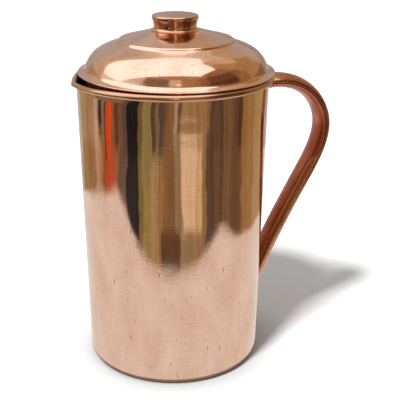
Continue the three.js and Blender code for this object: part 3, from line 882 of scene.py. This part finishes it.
def lid_copper():
    """Spun and buffed copper: rings of fine spinning marks, drawn 0.7 mm apart so that they show,
    clouds of fingermarks 25 mm wide, and brown specks of dried polish well under 1 mm wide."""
    material, output = new_material("spun_copper")
    tree = material.node_tree
    place = add(tree, "ShaderNodeTexCoord").outputs["Object"]
    centred = add(tree, "ShaderNodeMapping", {
        "Vector": place, "Location": (-LID_CENTRE[0], 0, 0)}).outputs[0]
    parts = add(tree, "ShaderNodeSeparateXYZ", {0: centred}).outputs
    flat = add(tree, "ShaderNodeCombineXYZ", {"X": parts["X"], "Y": parts["Y"]}).outputs[0]
    radius = add(tree, "ShaderNodeVectorMath", {0: flat}, operation="LENGTH").outputs["Value"]
    ring_place = add(tree, "ShaderNodeCombineXYZ", {"X": radius, "Y": parts["Z"]}).outputs[0]
    rings = add(tree, "ShaderNodeTexNoise", {
        "Vector": ring_place, "Scale": 1400.0, "Detail": 2.0}).outputs["Fac"]
    cloud = add(tree, "ShaderNodeTexNoise", {
        "Vector": centred, "Scale": 40.0, "Detail": 5.0}).outputs["Fac"]
    tone = add(tree, "ShaderNodeValToRGB", {"Fac": cloud})
    tone.color_ramp.elements[0].position = 0.35
    tone.color_ramp.elements[0].color = linear("#e3b79e")
    tone.color_ramp.elements[1].position = 0.65
    tone.color_ramp.elements[1].color = linear("#efcbb6")
    speck_field = add(tree, "ShaderNodeTexNoise", {
        "Vector": centred, "Scale": 520.0, "Detail": 4.0}).outputs["Fac"]
    specks = add(tree, "ShaderNodeMapRange", {
        "Value": speck_field, "From Min": 0.60, "From Max": 0.74, "To Max": 0.6}).outputs[0]
    colour = add(tree, "ShaderNodeMix", {
        "Factor": specks, 6: tone.outputs["Color"], 7: linear("#9a6a48")}, data_type="RGBA").outputs[2]
    worn = add(tree, "ShaderNodeMath", {0: cloud, 1: 0.10, 2: 0.06}, operation="MULTIPLY_ADD").outputs[0]
    relief = add(tree, "ShaderNodeBump", {"Strength": 0.05, "Distance": 0.0001, "Height": rings}).outputs[0]
    shader = add(tree, "ShaderNodeBsdfPrincipled", {
        "Base Color": colour, "Metallic": 1.0, "Roughness": worn, "Normal": relief})
    tree.links.new(shader.outputs[0], output.inputs["Surface"])
    return material


# The lid's upper side from the screw hole outwards, each curve starting where the last one ends.
crown = bezier([(PAD_RADIUS, PAD_HEIGHT), (0.0200, 0.2115), (0.0312, 0.2086), (0.0340, 0.20795)], 24)
step = bezier([(0.0340, 0.20795), (0.0352, 0.2077), (0.0351, 0.2064), (0.0360, 0.20615)], 12)
dome = bezier([(0.0360, 0.20615), (0.0447, 0.2027), (0.0515, 0.2020), (0.05565, 0.1916)], 56)
crease = bezier([(0.05565, 0.1916), (0.0558, 0.1912), (0.0560, 0.1909)], 6)
brim = bezier([(0.0560, 0.1909), (0.0566, 0.1894), BRIM_EDGE], 20)
lid_top = [(SCREW_HOLE, PAD_HEIGHT), *line((SCREW_HOLE, PAD_HEIGHT), (PAD_RADIUS, PAD_HEIGHT), 8),
           *crown, *step[1:], *dome[1:], *crease[1:], *brim[1:]]
lid_under = offset(lid_top, LID_SHEET)
hem = arc((BRIM_EDGE[0], BRIM_EDGE[1] - LID_SHEET / 2), LID_SHEET / 2, -90, 90, 8)
lid = turned("lid_dome", [*lid_under, *hem, *lid_top[::-1], lid_under[0]], lid_copper(),
             segments=256, centre=LID_CENTRE)
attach(lid, "lid")
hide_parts("lid_shell")

# The lid's ring: a strip of 0.8 mm copper bent round and soldered under the dome, left satin. It
# drops into the mouth and keeps the lid from sliding off.
COLLAR_RADIUS = 0.0553
COLLAR_FOOT = 0.1805
COLLAR_TOP = 0.1898
collar_foot = (COLLAR_RADIUS - LID_SHEET / 2, COLLAR_FOOT + LID_SHEET / 2)
collar_top = (COLLAR_RADIUS - LID_SHEET / 2, COLLAR_TOP - LID_SHEET / 2)
collar_profile = [*arc(collar_foot, LID_SHEET / 2, -180, 0, 8), *arc(collar_top, LID_SHEET / 2, 0, 180, 8)]
collar = turned("lid_ring", [*collar_profile, collar_profile[0]],
                satin_copper("satin_copper_strip", "#c99274", 0.36), segments=200, centre=LID_CENTRE)
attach(collar, "lid")
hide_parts("lid_collar")


# --- Knob -------------------------------------------------------------------------------------
# A turned copper button with hollowed sides and a flat top, drilled from below for the brass screw
# that clamps it through the lid over a brass washer.
KNOB_CENTRE = (0.0016, 0, 0)
KNOB_RADIUS = 0.01415
KNOB_NECK = 0.01305
KNOB_FILLET = 0.0019
KNOB_TOP = 0.2220
KNOB_SEAT = 0.2131
KNOB_BORE = 0.0022
KNOB_SKIN = 0.0024  # what the bore leaves under the top
KNOB_EDGE = 0.0011
KNOB_DISH = 0.0001  # how far the top is hollowed in the middle


def knob_copper():
    """Turned and buffed copper, a shade deeper than the sheet, with rings from the lathe 0.3 mm
    apart and clouds of tarnish of about 6 mm."""
    material, output = new_material("turned_copper")
    tree = material.node_tree
    place = add(tree, "ShaderNodeTexCoord").outputs["Object"]
    centred = add(tree, "ShaderNodeMapping", {
        "Vector": place, "Location": (-KNOB_CENTRE[0], 0, 0)}).outputs[0]
    cloud = add(tree, "ShaderNodeTexNoise", {
        "Vector": centred, "Scale": 160.0, "Detail": 4.0}).outputs["Fac"]
    tone = add(tree, "ShaderNodeMix", {
        "Factor": cloud, 6: linear("#e6bfa4"), 7: linear("#d4a080")}, data_type="RGBA").outputs[2]
    rings = add(tree, "ShaderNodeTexWave", {
        "Vector": centred, "Scale": 1100.0, "Distortion": 2.0,
    }, wave_type="RINGS", rings_direction="Z").outputs["Fac"]
    relief = add(tree, "ShaderNodeBump", {"Strength": 0.04, "Distance": 0.0001, "Height": rings}).outputs[0]
    shader = add(tree, "ShaderNodeBsdfPrincipled", {
        "Base Color": tone, "Metallic": 1.0, "Roughness": 0.12, "Normal": relief})
    tree.links.new(shader.outputs[0], output.inputs["Surface"])
    return material


neck_height = KNOB_SEAT + KNOB_FILLET + 0.00005
waist = bezier([(KNOB_NECK, neck_height), (KNOB_NECK, neck_height + 0.0021),
                (KNOB_RADIUS, KNOB_TOP - 0.0022)], 20)
# Down the bore, out under the seat, up the hollowed side, over the edge, and in along the top.
knob_profile = [
    (0, KNOB_TOP - KNOB_SKIN), (KNOB_BORE, KNOB_TOP - KNOB_SKIN), (KNOB_BORE, KNOB_SEAT),
    (KNOB_NECK + KNOB_FILLET, KNOB_SEAT),
    *arc((KNOB_NECK + KNOB_FILLET, neck_height), KNOB_FILLET, -90, -180, 14), *waist[1:],
    *line(waist[-1], (KNOB_RADIUS, KNOB_TOP - KNOB_EDGE), 4),
    *arc((KNOB_RADIUS - KNOB_EDGE, KNOB_TOP - KNOB_EDGE), KNOB_EDGE, 0, 90, 8),
    *line((KNOB_RADIUS - KNOB_EDGE, KNOB_TOP), (0, KNOB_TOP - KNOB_DISH), 8),
    (0, KNOB_TOP - KNOB_DISH),
]
knob = turned("lid_knob", knob_profile, knob_copper(), segments=128, centre=KNOB_CENTRE)
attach(knob, "lid")
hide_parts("knob")

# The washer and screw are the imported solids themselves, in the same brass as the wire.
for name in ("knob_washer", "knob_screw"):
    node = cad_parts[name]
    node.data.materials.clear()
    node.data.materials.append(BRASS)
